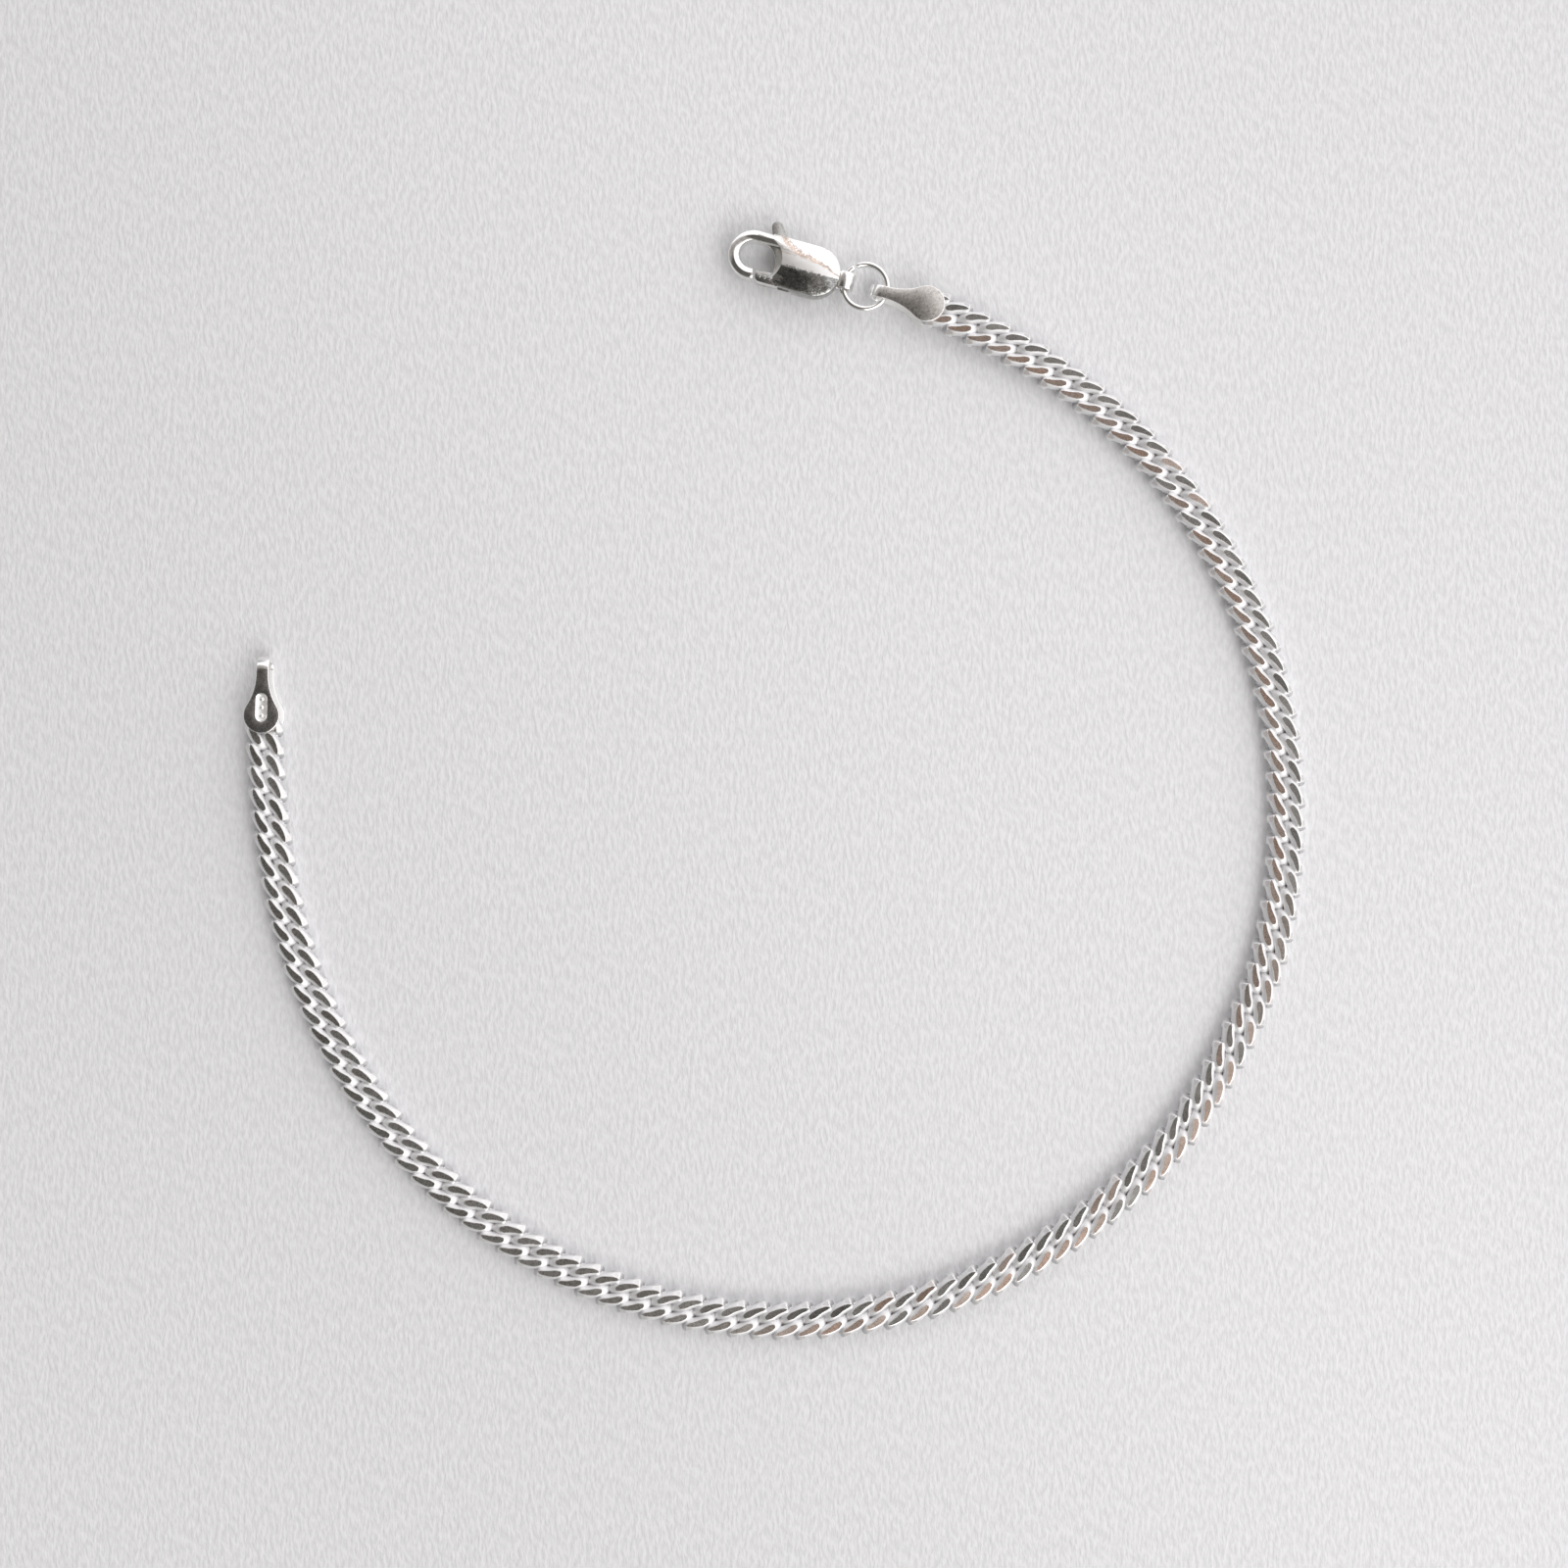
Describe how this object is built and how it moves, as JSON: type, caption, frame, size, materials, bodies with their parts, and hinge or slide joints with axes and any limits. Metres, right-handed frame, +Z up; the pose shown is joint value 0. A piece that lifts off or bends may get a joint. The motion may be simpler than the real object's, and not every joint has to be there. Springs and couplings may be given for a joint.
{
  "type": "flat curb link bracelet",
  "caption": "Unclasped silver-coloured flat curb chain bracelet lying in an open C, with folded teardrop end tags, a split jump ring and a lobster clasp with a turning lever.",
  "frame": {"origin": "middle of the bracelet's footprint, on the surface it lies on", "axes": "+Z up from the surface, +X to the right and +Y away as the picture shows it, with the clasp at the far side"},
  "size_m": [0.0814, 0.0857, 0.0024],
  "materials": {
    "filed_links": "bright filed flats on polished round wire",
    "tag_strip": "grained strip with bright cut edges",
    "ring_wire": "polished",
    "clasp_metal": "polished cast silver with a fine grain",
    "lever_metal": "grained flat stamping"
  },
  "bodies": {
    "bracelet": {"chain_first_half": "filed_links", "chain_second_half": "filed_links", "free_end_tag": "tag_strip", "clasp_end_tag": "tag_strip", "jump_ring": "ring_wire", "clasp_body": "clasp_metal"},
    "lever": {"clasp_lever": "lever_metal"}
  },
  "joints": [
    {"name": "lever_pivot", "type": "hinge", "parent": "bracelet", "child": "lever", "pos_m": [0.00064, 0.03861, 0.0012], "axis": [0, 0, -1], "range_deg": [0, 30], "stiffness_Nm_per_rad": 0.002, "springref_deg": -5.73}
  ]
}
